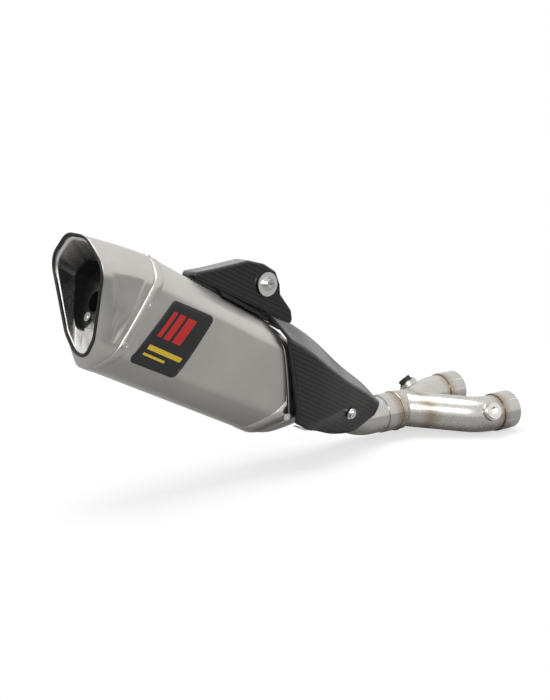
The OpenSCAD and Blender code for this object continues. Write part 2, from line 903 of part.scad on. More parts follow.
// Outer edge strip of the bracket's base, held off the sleeve's shoulder.
function foot_end(x) =
    let (z = crown_z(x) + 6, y = -bracket_out - clear)
    [[x, y, z], [x, y, z - 2], [x, y - 14, z - 8], [x, y - 14, z - 6]];

module bracket_foot() {
    color(carbon)
        on_silencer()
            solid_loft([foot_end(hanger_fwd - 69), foot_end(hanger_fwd + 9)]);
}

// ---- hanger: rubber grommet, flanged collar, bolt ----
face_y = -bracket_out;
hang_bore = collar_d / 2 - 3;
shoulder_r = hanger_d / 2 + 0.6;
collar_r = shoulder_r + 2.3;
grommet_t = 1.6;
collar_t = 2;

module hang_ring(y0, y1, r_out, r_in) {
    difference() {
        bar([hanger_fwd, y0, hanger_up], [hanger_fwd, y1, hanger_up], r_out);
        bar([hanger_fwd, y0, hanger_up], [hanger_fwd, y1, hanger_up], r_in, 1);
    }
}

module hanger_grommet() {
    color(dark)
        on_silencer() {
            hang_ring(face_y - grommet_t, face_y - 0.05, collar_d / 2 - 1, collar_r + fit);
            hang_ring(face_y - 0.05, face_y + carbon_t + 0.05, hang_bore - fit, collar_r + fit);
            hang_ring(face_y + carbon_t + 0.05, face_y + carbon_t + grommet_t, collar_d / 2 - 1, collar_r + fit);
        }
}

module hanger_collar() {
    outer_y = face_y - grommet_t - 0.05;
    color("#dcdcda")
        on_silencer()
            difference() {
                union() {
                    bar([hanger_fwd, outer_y - collar_t, hanger_up], [hanger_fwd, outer_y, hanger_up],
                        collar_d / 2);
                    bar([hanger_fwd, outer_y, hanger_up],
                        [hanger_fwd, face_y + carbon_t + grommet_t, hanger_up], collar_r);
                }
                bar([hanger_fwd, outer_y - collar_t, hanger_up],
                    [hanger_fwd, face_y + carbon_t + grommet_t, hanger_up], shoulder_r + fit, 1);
            }
}

bolt_y = face_y - grommet_t - 0.1 - collar_t;
washer_y = face_y + carbon_t + grommet_t + 0.05;
washer_t = 2;
shoulder_y = washer_y + washer_t + 0.5;
module hanger_bolt() {
    color("#b9b9b9")
        on_silencer()
            difference() {
                union() {
                    bar([hanger_fwd, bolt_y, hanger_up], [hanger_fwd, bolt_y + hanger_len, hanger_up],
                        hanger_d / 2);
                    bar([hanger_fwd, bolt_y, hanger_up], [hanger_fwd, shoulder_y, hanger_up], shoulder_r);
                    bar([hanger_fwd, bolt_y - 1.8, hanger_up], [hanger_fwd, bolt_y, hanger_up],
                        hanger_d + 0.6);
                    bar([hanger_fwd, bolt_y - 6, hanger_up], [hanger_fwd, bolt_y - 1.8, hanger_up],
                        hanger_d * 0.8);
                }
                translate([hanger_fwd, bolt_y - 2.5, hanger_up])
                    rotate([90, 0, 0])
                        cylinder(r = hanger_d * 0.42, h = 6, $fn = 6);
            }
}

module hanger_washer() {
    color("#b9b9b9")
        on_silencer()
            hang_ring(washer_y, washer_y + washer_t, collar_d / 2 - 4, shoulder_r + fit);
}

// ---- heat shield: an open carbon shell round the outer side of the cone ----
// One station: place, slant, then [y, z] of the top edge, roof, upper crease, lower crease, hem.
shield_rows = [
    [163, 8, [0, 44], [-14, 43], [-30, 36], [-32, 27], [-31, 17]],
    [139, 0, [2, 53], [-12, 53], [-33, 39], [-37, 20], [-32, -12]],
    [101, -8, [4, 61], [-14, 61], [-41, 41], [-47, 8], [-34, -27]],
    [61, -16, [4, 75], [-16, 74], [-50, 46], [-54, -16], [-38, -33]],
    [33, -24, [-13, 81], [-22, 78], [-53, 52], [-55, -24], [-46, -37]],
    [5, -33, [-13, 80], [-22, 77], [-52, 57], [-55, -22], [-49, -36]]];

function shield_line(row, d, shift = 0) =
    station(sleeve_body_len + shield_rows[row][0] + shift, shield_rows[row][1], 0,
            rounded_line(inset_line([for (k = [2:6]) shield_rows[row][k]], d), 9, 4));

// Solid between two stacks of open lines, with its rims and ends closed by flat strips.
module sheet_loft(outer, inner) {
    n = len(outer[0]);
    m = len(outer);
    in = m * n;
    quads = concat(
        [for (i = [0:m - 2]) for (j = [0:n - 2])
            [i * n + j, i * n + n + j, i * n + n + j + 1, i * n + j + 1]],
        [for (i = [0:m - 2]) for (j = [0:n - 2])
            [in + i * n + j, in + i * n + j + 1, in + i * n + n + j + 1, in + i * n + n + j]],
        [for (i = [0:m - 2]) [i * n, in + i * n, in + i * n + n, i * n + n]],
        [for (i = [0:m - 2]) [i * n + n - 1, i * n + 2 * n - 1, in + i * n + 2 * n - 1, in + i * n + n - 1]],
        [for (j = [0:n - 2]) [j, j + 1, in + j + 1, in + j]],
        [for (j = [0:n - 2]) let (a = (m - 1) * n + j) [a, in + a, in + a + 1, a + 1]]);
    polyhedron([for (r = concat(outer, inner)) for (p = r) p],
               [for (q = quads) each [[q[0], q[1], q[2]], [q[0], q[2], q[3]]]]);
}

shield_bolt_dir = unit([0.29, -0.92, -0.28]);
shield_bolt_at = [sleeve_body_len + shield_bolt_ahead, -41.7, shield_bolt_up];

module heat_shield() {
    color(carbon)
        on_silencer()
            difference() {
                sheet_loft([for (row = [5:-1:0]) shield_line(row, 0)],
                           [for (row = [5:-1:0]) shield_line(row, shield_t)]);
                bar(shield_bolt_at - shield_bolt_dir * 9, shield_bolt_at + shield_bolt_dir * 9,
                    shield_bolt_d / 2 + clear);
            }
}

module shield_trim() {
    color(dark)
        on_silencer()
            sheet_loft([shield_line(5, -0.8, -3), shield_line(5, -0.8, -clear)],
                       [shield_line(5, shield_t + 0.8, -3), shield_line(5, shield_t + 0.8, -clear)]);
}

module shield_boss() {
    color(steel)
        on_silencer()
            difference() {
                bar(shield_bolt_at - shield_bolt_dir * 22, shield_bolt_at - shield_bolt_dir * 3, 6);
                bar([inlet_inside, 0, inlet_up], [inlet_fwd, 0, inlet_up], pr + weld_gap);
                bar(shield_bolt_at - shield_bolt_dir * 14, shield_bolt_at, shield_bolt_d / 2);
            }
}

module shield_washer() {
    color("#8a8a8c")
        on_silencer()
            difference() {
                bar(shield_bolt_at + shield_bolt_dir * 1.4, shield_bolt_at + shield_bolt_dir * 2.6, 7.5);
                bar(shield_bolt_at, shield_bolt_at + shield_bolt_dir * 4, shield_bolt_d / 2 + clear);
            }
}

module shield_bolt() {
    color("#c9c9c9")
        on_silencer()
            difference() {
                union() {
                    bar(shield_bolt_at - shield_bolt_dir * 12, shield_bolt_at + shield_bolt_dir * 3.4,
                        shield_bolt_d / 2 - 0.05);
                    bar(shield_bolt_at + shield_bolt_dir * 2.7, shield_bolt_at + shield_bolt_dir * 5.7, 5.4);
                }
                translate(shield_bolt_at + shield_bolt_dir * 4)
                    rotate(aim(shield_bolt_dir, [1, 0, 0]))
                        cylinder(r = 2.4, h = 4, $fn = 6);
            }
}

module shield_clip() {
    color("#9a9a9a")
        on_silencer()
            translate([sleeve_body_len + 31, -50, -38.9])
                cube([14, 10.5, 1.6]);
}

link_spigot();
outer_branch();
outer_bend();
inner_branch();
inner_bend();
sleeve_outer();
sleeve_inner();
boss_outer();
boss_inner();
plug_outer();
plug_inner();
merge_weld();
joint_gasket();
joint_socket();
inlet_bend();
inlet_pipe();
sleeve_body();
rear_band();
front_band();
front_cone();
cone_weld();
core_tube();
packing();
rear_plate();
front_plate();
end_cap();
outlet_lip();
outlet_funnel();
throat_collar();
throat_plate();
noise_damper();
damper_screw();
rear_rivets();
front_rivets();
top_rivet();
badge();
carbon_bracket();
bracket_foot();
bracket_pad();
bracket_bosses();
bracket_screws();
hanger_grommet();
hanger_collar();
hanger_bolt();
hanger_washer();
heat_shield();
shield_trim();
shield_boss();
shield_washer();
shield_bolt();
shield_clip();
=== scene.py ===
import json
import math

import bmesh
import bpy
from mathutils import Matrix, Vector
from mathutils.bvhtree import BVHTree

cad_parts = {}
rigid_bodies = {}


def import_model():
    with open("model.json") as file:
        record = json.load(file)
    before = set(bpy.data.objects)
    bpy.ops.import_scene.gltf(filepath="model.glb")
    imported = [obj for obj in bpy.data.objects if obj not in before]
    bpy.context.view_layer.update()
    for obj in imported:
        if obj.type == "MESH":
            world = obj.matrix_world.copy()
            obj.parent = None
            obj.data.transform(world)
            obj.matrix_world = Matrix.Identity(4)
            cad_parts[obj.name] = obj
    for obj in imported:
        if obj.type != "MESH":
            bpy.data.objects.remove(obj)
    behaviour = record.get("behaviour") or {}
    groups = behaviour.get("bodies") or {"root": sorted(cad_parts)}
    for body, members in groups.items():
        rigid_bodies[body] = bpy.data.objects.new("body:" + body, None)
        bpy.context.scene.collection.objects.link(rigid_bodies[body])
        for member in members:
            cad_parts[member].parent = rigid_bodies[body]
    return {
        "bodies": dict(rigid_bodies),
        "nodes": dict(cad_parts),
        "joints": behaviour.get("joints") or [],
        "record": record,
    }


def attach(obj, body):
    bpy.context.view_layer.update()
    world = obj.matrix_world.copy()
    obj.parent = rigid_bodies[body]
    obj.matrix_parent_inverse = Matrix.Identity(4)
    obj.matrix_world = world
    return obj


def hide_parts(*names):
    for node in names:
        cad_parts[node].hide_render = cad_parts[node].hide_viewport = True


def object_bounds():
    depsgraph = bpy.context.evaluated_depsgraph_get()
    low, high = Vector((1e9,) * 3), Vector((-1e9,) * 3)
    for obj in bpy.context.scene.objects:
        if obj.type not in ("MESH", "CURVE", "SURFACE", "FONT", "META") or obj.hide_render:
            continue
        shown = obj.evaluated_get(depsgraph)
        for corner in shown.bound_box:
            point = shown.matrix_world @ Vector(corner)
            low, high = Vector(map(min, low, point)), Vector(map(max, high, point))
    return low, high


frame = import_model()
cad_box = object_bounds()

# ---- Stage ----
# A white studio: a pale matt board under the exhaust keeps a soft shadow and fades to white further
# out. The exhaust is seen from its outlet side and a little from above, under two soft lamps.
camera_data = bpy.data.cameras.new("camera")
camera_data.lens = 85
camera_data.sensor_width = 36
camera = bpy.data.objects.new("camera", camera_data)
bpy.context.scene.collection.objects.link(camera)
bpy.context.scene.camera = camera
azimuth = math.radians(-38)
elevation = math.radians(14)
to_camera = Vector((math.sin(azimuth) * math.cos(elevation), -math.cos(azimuth) * math.cos(elevation),
                    math.sin(elevation)))
camera.location = (-1.5816, -1.5103, 0.6219)
camera.rotation_mode = "QUATERNION"
camera.rotation_quaternion = (-to_camera).to_track_quat("-Z", "Y")


class Finish:
    """A material with its main shader at hand and a short way to add and wire nodes."""

    def __init__(self, name, colour, metal=0.0, rough=0.5, frame=None):
        self.frame = frame
        self.material = bpy.data.materials.new(name)
        self.material.use_nodes = True
        self.tree = self.material.node_tree
        self.shader = self.tree.nodes["Principled BSDF"]
        self.shader.inputs["Base Color"].default_value = (*colour, 1)
        self.shader.inputs["Metallic"].default_value = metal
        self.shader.inputs["Roughness"].default_value = rough

    def node(self, kind, settings=None, **inputs):
        made = self.tree.nodes.new("ShaderNode" + kind)
        for key, value in (settings or {}).items():
            setattr(made, key, value)
        for key, value in inputs.items():
            self.wire(made, key, value)
        return made

    def wire(self, made, key, value):
        numbered = key[0] == "i" and key[1:].isdigit()
        socket = made.inputs[int(key[1:]) if numbered else key.replace("_", " ")]
        if isinstance(value, bpy.types.NodeSocket):
            self.tree.links.new(value, socket)
        else:
            socket.default_value = value

    def math(self, operation, a, b=0.0):
        return self.node("Math", {"operation": operation}, i0=a, i1=b).outputs[0]

    def place(self):
        """Place on the piece, in the finish's own frame where it has one."""
        where = self.node("TexCoord").outputs["Object"]
        if self.frame is None:
            return where
        return self.node("Mapping", {"vector_type": "TEXTURE"}, Vector=where, Location=self.frame.translation,
                         Rotation=self.frame.to_euler()).outputs[0]

    def stretched(self, scale):
        return self.node("Mapping", Vector=self.place(), Scale=scale).outputs[0]

    def noise(self, where, scale, detail=3.0, rough=0.6):
        return self.node("TexNoise", Vector=where, Scale=scale, Detail=detail, Roughness=rough).outputs["Fac"]

    def ramp(self, value, stops):
        made = self.node("ValToRGB", Fac=value)
        band = made.color_ramp
        while len(band.elements) < len(stops):
            band.elements.new(0.5)
        for element, (place, colour) in zip(band.elements, stops):
            element.position = place
            element.color = (*colour, 1) if len(colour) == 3 else (colour[0],) * 3 + (1,)
        return made.outputs["Color"]

    def bump(self, height, strength, distance):
        made = self.node("Bump", Strength=strength, Distance=distance, Height=height)
        self.tree.links.new(made.outputs[0], self.shader.inputs["Normal"])

    def set(self, key, value):
        self.wire(self.shader, key, value)


FLOOR_GAP = 0.0005
FLOOR_SIZE = 24
bpy.ops.mesh.primitive_plane_add(size=FLOOR_SIZE, location=(0, 0, cad_box[0].z - FLOOR_GAP))
floor = bpy.context.object
floor.name = "floor"
board = Finish("pale_board", (0.5, 0.5, 0.5), 0, 0.9)
glow = board.node("Emission", Color=(1, 1, 1, 1), Strength=0.62)
shaded = board.node("BsdfDiffuse", Color=(0.42, 0.42, 0.42, 1))
near = board.node("AddShader", i0=glow.outputs[0], i1=shaded.outputs[0])
white = board.node("Emission", Color=(1, 1, 1, 1), Strength=1.0)
SHADOW_CENTRE = (-0.2, 0.1, 0.0)
SHADOW_REACH = 0.35
WHITE_REACH = 0.75
apart = board.node("VectorMath", {"operation": "DISTANCE"}, i0=board.place(), i1=SHADOW_CENTRE)
away = board.node("MapRange", {"interpolation_type": "SMOOTHSTEP"}, Value=apart.outputs["Value"],
                  From_Min=SHADOW_REACH, From_Max=WHITE_REACH)
seen = board.node("MixShader", Fac=away.outputs[0], i1=near.outputs[0], i2=white.outputs[0])
board_choice = board.node("MixShader", Fac=board.node("LightPath").outputs["Is Camera Ray"],
                          i1=board.shader.outputs[0], i2=seen.outputs[0])
board.tree.links.new(board_choice.outputs[0], board.tree.nodes["Material Output"].inputs["Surface"])
floor.data.materials.append(board.material)

world = bpy.data.worlds.new("studio")
bpy.context.scene.world = world
world.use_nodes = True
sky = world.node_tree
sky_light = sky.nodes["Background"]
sky_light.inputs["Color"].default_value = (1, 1, 1, 1)
sky_light.inputs["Strength"].default_value = 0.45
sky_seen = sky.nodes.new("ShaderNodeBackground")
sky_seen.inputs["Color"].default_value = (1, 1, 1, 1)
sky_seen.inputs["Strength"].default_value = 1
sky_path = sky.nodes.new("ShaderNodeLightPath")
sky_mix = sky.nodes.new("ShaderNodeMixShader")
sky_any = sky.nodes.new("ShaderNodeMath")
sky_any.operation = "MAXIMUM"
sky_any.use_clamp = True
sky.links.new(sky_path.outputs["Is Camera Ray"], sky_any.inputs[0])
sky.links.new(sky_path.outputs["Is Glossy Ray"], sky_any.inputs[1])
sky.links.new(sky_any.outputs[0], sky_mix.inputs[0])
sky.links.new(sky_light.outputs[0], sky_mix.inputs[1])
sky.links.new(sky_seen.outputs[0], sky_mix.inputs[2])
sky.links.new(sky_mix.outputs[0], sky.nodes["World Output"].inputs["Surface"])

bpy.context.scene.view_settings.view_transform = "Standard"


def soft_lamp(name, place, aim, width, height, power):
    """A rectangular lamp in metres and watts, pointed at the given place."""
    data = bpy.data.lights.new(name, "AREA")
    data.shape = "RECTANGLE"
    data.size = width
    data.size_y = height
    data.energy = power
    lamp = bpy.data.objects.new(name, data)
    bpy.context.scene.collection.objects.link(lamp)
    lamp.location = place
    lamp.rotation_mode = "QUATERNION"
    lamp.rotation_quaternion = (Vector(aim) - Vector(place)).to_track_quat("-Z", "Y")


middle = (cad_box[0] + cad_box[1]) / 2
soft_lamp("overhead", (-0.3, 0.2, 1.9), middle, 1.8, 1.2, 22)
soft_lamp("front", (-1.5, -1.5, 1.3), middle, 1.2, 0.8, 14)


black_cloth = Finish("black_cloth", (0.03, 0.028, 0.026), 0, 1.0)


def dark_card(name, place, aim, width, height):
    """A matt black card that only reflections see."""
    bpy.ops.mesh.primitive_plane_add(size=1, location=place)
    card = bpy.context.object
    card.name = name
    card.scale = (width, height, 1)
    card.rotation_mode = "QUATERNION"
    card.rotation_quaternion = (Vector(aim) - Vector(place)).to_track_quat("-Z", "Y")
    card.data.materials.append(black_cloth.material)
    card.visible_camera = False
    card.visible_diffuse = False
    card.visible_shadow = False


dark_card("low_card", (-0.75, -0.9, -0.019), (-0.75, -0.9, 1.0), 1.2, 0.7)

# ---- Link pipes ----
# Thin stainless tube, bent, mitred and welded into a Y. The brushed skin keeps lengthwise streaks and
# takes a straw and brown tint beside each weld.
def pipe_finish(name, tint_at, tint_width=0.012):
    """Streaked steel, tinted near the given places along X."""
    made = Finish(name, (0.56, 0.54, 0.51), 1.0, 0.24)
    along = made.stretched((6, 160, 160))
    streak = made.noise(along, 4.0, 4.0)
    cloud = made.noise(made.place(), 26.0, 3.0)
    colour = made.ramp(streak, [(0.3, (0.47, 0.455, 0.43)), (0.7, (0.62, 0.60, 0.57))])
    x = made.node("SeparateXYZ", Vector=made.place()).outputs["X"]
    for place in tint_at:
        near = made.math("ABSOLUTE", made.math("SUBTRACT", x, place))
        worn = made.math("ADD", near, made.math("MULTIPLY", made.math("SUBTRACT", cloud, 0.5), tint_width))
        amount = made.node("MapRange", Value=worn, From_Min=0.0, From_Max=tint_width, To_Min=0.75, To_Max=0.0)
        tint = made.node("Mix", {"data_type": "RGBA", "blend_type": "MULTIPLY"})
        made.tree.links.new(amount.outputs[0], tint.inputs[0])
        made.tree.links.new(colour, tint.inputs[6])
        tint.inputs[7].default_value = (0.55, 0.42, 0.28, 1)
        colour = tint.outputs[2]
    made.set("Base Color", colour)
    made.set("Roughness", made.node("MapRange", Value=streak, To_Min=0.16, To_Max=0.36).outputs[0])
    made.bump(streak, 0.03, 0.0003)
    return made


def finish_nodes(finish, *names):
    """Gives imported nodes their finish."""
    for name in names:
        frame["nodes"][name].data.materials.clear()
        frame["nodes"][name].data.materials.append(finish.material)


SLEEVE_WELD_X = -0.028
Y_WELD_X = -0.118
SOCKET_X = -0.1535
steel_pipe = pipe_finish("steel_pipe", [SLEEVE_WELD_X, Y_WELD_X, SOCKET_X])
finish_nodes(steel_pipe, "link_spigot", "outer_branch", "outer_bend", "inner_branch", "inner_bend",
             "sleeve_outer", "sleeve_inner", "boss_outer", "boss_inner", "joint_socket", "inlet_bend",
             "inlet_pipe", "shield_boss")

weld_bead = Finish("weld_bead", (0.40, 0.35, 0.29), 1.0, 0.35)
scales = weld_bead.noise(weld_bead.stretched((60, 400, 400)), 3.0)
weld_bead.bump(scales, 0.6, 0.0006)
finish_nodes(weld_bead, "merge_weld", "cone_weld")

# ---- Plugs ----
# Two blanking plugs close the sensor bosses: a bright socket plug outside, a dark hexagon plug inside.
bright_steel = Finish("bright_steel", (0.72, 0.71, 0.69), 1.0, 0.18)
bright_steel.bump(bright_steel.noise(bright_steel.place(), 900.0), 0.06, 0.0002)
dark_steel = Finish("dark_steel", (0.05, 0.045, 0.04), 0.6, 0.35)
dark_steel.bump(dark_steel.noise(dark_steel.place(), 700.0), 0.15, 0.0002)


finish_nodes(bright_steel, "plug_outer")
finish_nodes(dark_steel, "plug_inner")

# ---- Slip joint ----
# The link pipe's spigot slides into the silencer's socket. A pressed graphite ring seals the step
# between the two pipes.
graphite = Finish("graphite", (0.03, 0.03, 0.032), 0.1, 0.55)
graphite.bump(graphite.noise(graphite.place(), 1200.0), 0.3, 0.0002)
finish_nodes(graphite, "joint_gasket")

# ---- Silencer sleeve ----
# One titanium sheet wrapped into a hexagon with rounded corners, blasted to a satin skin. Its front
# edge is rolled in towards the cone. A thin strap is riveted over the rear seam, and a wedge of the
# same sheet under the front's lower corner.
MM = 0.001
SLEEVE_LEN = 257.0
SHEET = 1.3
CORNER_R = 24.0
SEAM_SLANT = 9.0
FRONT_SLANT = -33.0
BAND_W = 12.0
INLET_UP = 8.0
silencer_place = (Matrix.Translation(Vector((-211, 68, 8.5)) * MM)
                  @ Matrix.Rotation(math.radians(28), 4, "Y") @ Matrix.Rotation(math.radians(-4), 4, "X")
                  @ Matrix.Translation(Vector((-425, 0, -INLET_UP)) * MM))


def hexagon(w_top, w_low, top, low, side_top, side_low, crown, keel):
    """Outline from half widths, heights and half flats at the top and at the bottom."""
    return [Vector(p) for p in ((w_top, side_top), (crown, top), (-crown, top), (-w_top, side_top),
                                (-w_low, side_low), (-keel, low), (keel, low), (w_low, side_low))]


def inset(points, d):
    """Closed outline moved in by d."""
    out = []
    for i, p in enumerate(points):
        a = (p - points[i - 1]).normalized()
        b = (points[(i + 1) % len(points)] - p).normalized()
        a, b = Vector((-a.y, a.x)), Vector((-b.y, b.x))
        out.append(p + (a + b) * (d / (1 + a.dot(b))))
    return out


def outline(points, radius, arc=8, flat=6, bulge=0.0):
    """Closed outline with its corners rounded, its flats divided and bowed out a little."""
    corners = []
    count = len(points)
    for i, p in enumerate(points):
        u, v = points[i - 1] - p, points[(i + 1) % count] - p
        half = u.angle(v) / 2
        d = min(radius / math.tan(half), 0.48 * u.length, 0.48 * v.length)
        r = d * math.tan(half)
        centre = p + (u.normalized() + v.normalized()).normalized() * (r / math.sin(half))
        start, end = p + u.normalized() * d - centre, p + v.normalized() * d - centre
        a0, a1 = math.atan2(start.y, start.x), math.atan2(end.y, end.x)
        turn = (a1 - a0 + 3 * math.pi) % (2 * math.pi) - math.pi
        corners.append([centre + Vector((math.cos(a0 + turn * k / arc), math.sin(a0 + turn * k / arc))) * r
                        for k in range(arc + 1)])
    out = []
    for i, run in enumerate(corners):
        out += run
        a, b = run[-1], corners[(i + 1) % count][0]
        away = Vector((b.y - a.y, a.x - b.x)).normalized()
        for k in range(1, flat):
            t = k / flat
            out.append(a.lerp(b, t) + away * (bulge * 4 * t * (1 - t) * min(1, (b - a).length / 60)))
    return out


def station(x, slant, turn, points):
    """Puts an outline on a plane across the axis, slanted with height and turned with width."""
    return [Vector((x + math.tan(math.radians(slant)) * p.y + math.tan(math.radians(turn)) * p.x, p.x, p.y))
            for p in points]


REAR_HEX = hexagon(51, 46, 80, -68, 54, -41, 16, 14)
FRONT_HEX = hexagon(47, 41, 71, -63.5, 50, -33, 15, 11)


BULGE = 1.2


def body_ring(x, slant, d):
    t = x / SLEEVE_LEN
    hexa = [a.lerp(b, t) for a, b in zip(REAR_HEX, FRONT_HEX)]
    return station(x, slant, 0, outline(inset(hexa, d), CORNER_R - d, bulge=BULGE))


def tidy_mesh(made):
    work = bmesh.new()
    work.from_mesh(made.data)
    bmesh.ops.remove_doubles(work, verts=work.verts, dist=1e-7)
    bmesh.ops.recalc_face_normals(work, faces=work.faces)
    work.to_mesh(made.data)
    work.free()


def sheet_metal(name, rings, finish, slot="titanium", nodes=(), close=True, smooth=True):
    """A skin through rings of points, in the silencer's own frame and riding on it. The last ring joins
    the first when close is set."""
    mesh = bpy.data.meshes.new(name)
    count = len(rings[0])
    verts = [silencer_place @ (p * MM) for ring in rings for p in ring]
    faces = []
    runs = len(rings) if close else len(rings) - 1
    for i in range(runs):
        a, b = i * count, (i + 1) % len(rings) * count
        for j in range(count):
            k = (j + 1) % count
            faces.append((a + j, a + k, b + k, b + j))
    mesh.from_pydata(verts, [], faces)
    mesh.update()
    made = bpy.data.objects.new(name, mesh)
    bpy.context.scene.collection.objects.link(made)
    tidy_mesh(made)
    mesh.materials.append(finish.material)
    if smooth:
        mesh.shade_smooth()
    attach(made, "silencer")
    if nodes:
        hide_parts(*nodes)
    return made


def blasted(name, colour, rough):
    """Satin metal with a fine grit and faint clouds."""
    made = Finish(name, colour, 1.0, rough, silencer_place)
    cloud = made.noise(made.place(), 9.0, 4.0)
    low = tuple(c * 0.93 for c in colour)
    high = tuple(c * 1.06 for c in colour)
    made.set("Base Color", made.ramp(cloud, [(0.3, low), (0.7, high)]))
    grit = made.noise(made.place(), 2600.0, 2.0)
    made.bump(grit, 0.10, 0.0002)
    uneven = made.node("MapRange", Value=cloud, To_Min=rough - 0.04, To_Max=rough + 0.04)
    made.set("Roughness", uneven.outputs[0])
    return made


titanium = blasted("titanium", (0.54, 0.52, 0.49), 0.33)
EDGE_R = 4.5
EDGE_ARC = [math.radians(15 * k) for k in range(7)]
BACK_START = 298
BACK_SLOPE = 0.62
CORNER_SOFT = 8
UNDER_Z = -58
UNDER_RUN = 12
UNDER_PULL = 14


def front_x(z):
    """Front edge of the sleeve: slanted down the flank, then curved back under the lower corner."""
    down = SLEEVE_LEN - math.tan(math.radians(-FRONT_SLANT)) * z
    back = BACK_START + BACK_SLOPE * z
    soft = max(CORNER_SOFT - abs(down - back), 0)
    under = max(0, (UNDER_Z - z) / UNDER_RUN)
    return min(down, back) - soft * soft / (4 * CORNER_SOFT) - UNDER_PULL * under * under


REAR_GAP = 0.3


def sleeve_ring(t, d, back=0.0):
    """Outline at the share t of the way from the rear seam to the front edge, drawn back by a length."""
    hexa = [a.lerp(b, t) for a, b in zip(REAR_HEX, FRONT_HEX)]
    seam = math.tan(math.radians(SEAM_SLANT))
    return [Vector(((REAR_GAP + seam * p.y) * (1 - t) + front_x(p.y) * t - back, p.x, p.y))
            for p in outline(inset(hexa, d), CORNER_R - d, bulge=BULGE)]


sleeve_rings = [sleeve_ring(0, SHEET), sleeve_ring(0, 0)]
SLEEVE_STEPS = 24
sleeve_rings += [sleeve_ring(k / SLEEVE_STEPS, 0, EDGE_R * k / SLEEVE_STEPS) for k in range(1, SLEEVE_STEPS)]
for a in EDGE_ARC:
    sleeve_rings.append(sleeve_ring(1, EDGE_R * (1 - math.cos(a)), EDGE_R * (1 - math.sin(a))))
sleeve_rings += [sleeve_ring(1, EDGE_R, SHEET), sleeve_ring(1, SHEET, EDGE_R)]
sleeve = sheet_metal("silencer_sleeve", sleeve_rings, titanium,
                     nodes=["sleeve_body", "front_plate", "packing"])

BAND_T = 0.6
BAND_START = 1.3
strap_rings = [body_ring(BAND_START + x, SEAM_SLANT, d)
               for x, d in ((0, 0.1), (0, 0.2 - BAND_T), (0.3, -BAND_T),
                            (BAND_W - 0.3, -BAND_T), (BAND_W, 0.2 - BAND_T), (BAND_W, 0.1))]
sheet_metal("rear_strap", strap_rings, titanium, nodes=["rear_band"])


WEDGE_START = 267.4
WEDGE_SLOPE = 0.525
WEDGE_FULL = 6
WEDGE_LEAST = 0.4


def wedge_ring(share, lift):
    """One line of the front strap, at a share of its width, which runs out to nothing up the flank."""
    ring = []
    for low, high in zip(sleeve_ring(0.97, 0.3), sleeve_ring(0.97, -1)):
        front = front_x(low.z) - EDGE_R
        rear = min(front - WEDGE_LEAST, WEDGE_START + WEDGE_SLOPE * low.z)
        amount = min(1, (front - rear) / WEDGE_FULL) * lift
        p = low.lerp(high, amount)
        ring.append(Vector((rear + (front - rear) * share, p.y, p.z)))
    return ring


sheet_metal("front_strap", [wedge_ring(0, 0), wedge_ring(0.02, 0.8), wedge_ring(1, 0.8), wedge_ring(1, 0)],
            titanium, nodes=["front_band"])

# ---- Cone ----
# The sleeve's front closes over a cone pressed from titanium sheet, which is welded to the inlet
# pipe. The perforated core runs on behind it to the outlet.
CONE_LEN = 93.0
PIPE_R = 24.0
NECK_FIT = 0.5
CONE_STEPS = 16
CONE_TUCK = 3.0


def cone_ring(t, d):
    ring = sleeve_ring(1, d, 1.7 - 2.0 * t)
    ease = t * t * (3 - 2 * t)
    out = []
    for p in ring:
        away = Vector((p.y, p.z - INLET_UP)).normalized()
        r = PIPE_R + SHEET + NECK_FIT - d
        neck = Vector((SLEEVE_LEN + CONE_LEN, away.x * r, INLET_UP + away.y * r))
        out.append(Vector((p.x + (neck.x - p.x) * t, p.y + (neck.y - p.y) * ease,
                           p.z + (neck.z - p.z) * ease)))
    return out


shares = [k / CONE_STEPS for k in range(CONE_STEPS + 1)]
cone_rings = [cone_ring(t, CONE_TUCK * (1 - t)) for t in shares]
cone_rings += [cone_ring(t, SHEET + CONE_TUCK * (1 - t)) for t in reversed(shares)]
sheet_metal("silencer_cone", cone_rings, titanium, nodes=["front_cone"])
inner_steel = pipe_finish("inner_steel", [])
finish_nodes(inner_steel, "core_tube", "rear_plate")

# ---- End cap ----
# Pressed titanium cap behind the seam, with a slanted six-sided mouth. Two shallow recesses are
# pressed in each flank.
RIM_HEX = hexagon(46.5, 25, 67, -58, 38, -38, 16, 10)
RIM_BACK = 54.0
RIM_SLANT = 26.0
RIM_TURN = 7.0
RIM_OUT = 10.0
RIM_CORNER = 26.0
CAP_SHEET = 2.0
CAP_BOW = 1.5


def rim_ring(d, back=0.0, bulge=0.0):
    shape = [p + Vector((-RIM_OUT, 0)) for p in inset(RIM_HEX, d)]
    return station(-RIM_BACK - back, -RIM_SLANT, -RIM_TURN, outline(shape, RIM_CORNER - d, bulge=bulge))


RECESSES = [[(-6, 44), (-50, 37), (-34, 13), (-4, 15)], [(-7, -3), (-27, -5), (-14, -30)]]
RECESS_DEEP = 1.3
RECESS_SOFT = 3.0


def inside_depth(p, corners):
    """How far the point lies inside the closed outline, less than zero when outside."""
    best = 1e9
    area = sum(a[0] * b[1] - b[0] * a[1] for a, b in zip(corners, corners[1:] + corners[:1]))
    for a, b in zip(corners, corners[1:] + corners[:1]):
        run = Vector((b[0] - a[0], b[1] - a[1]))
        side = (run.x * (p[1] - a[1]) - run.y * (p[0] - a[0])) / run.length
        best = min(best, side if area > 0 else -side)
    return best


def pressed(p):
    """Moves a point of the cap's flank in where a recess is pressed."""
    depth = 0.0
    if abs(p.y) > 18:
        for corners in RECESSES:
            t = min(1, max(0, inside_depth((p.x, p.z), corners) / RECESS_SOFT + 0.5))
            depth = max(depth, RECESS_DEEP * t * t * (3 - 2 * t))
    return p - Vector((0, math.copysign(depth, p.y), 0))


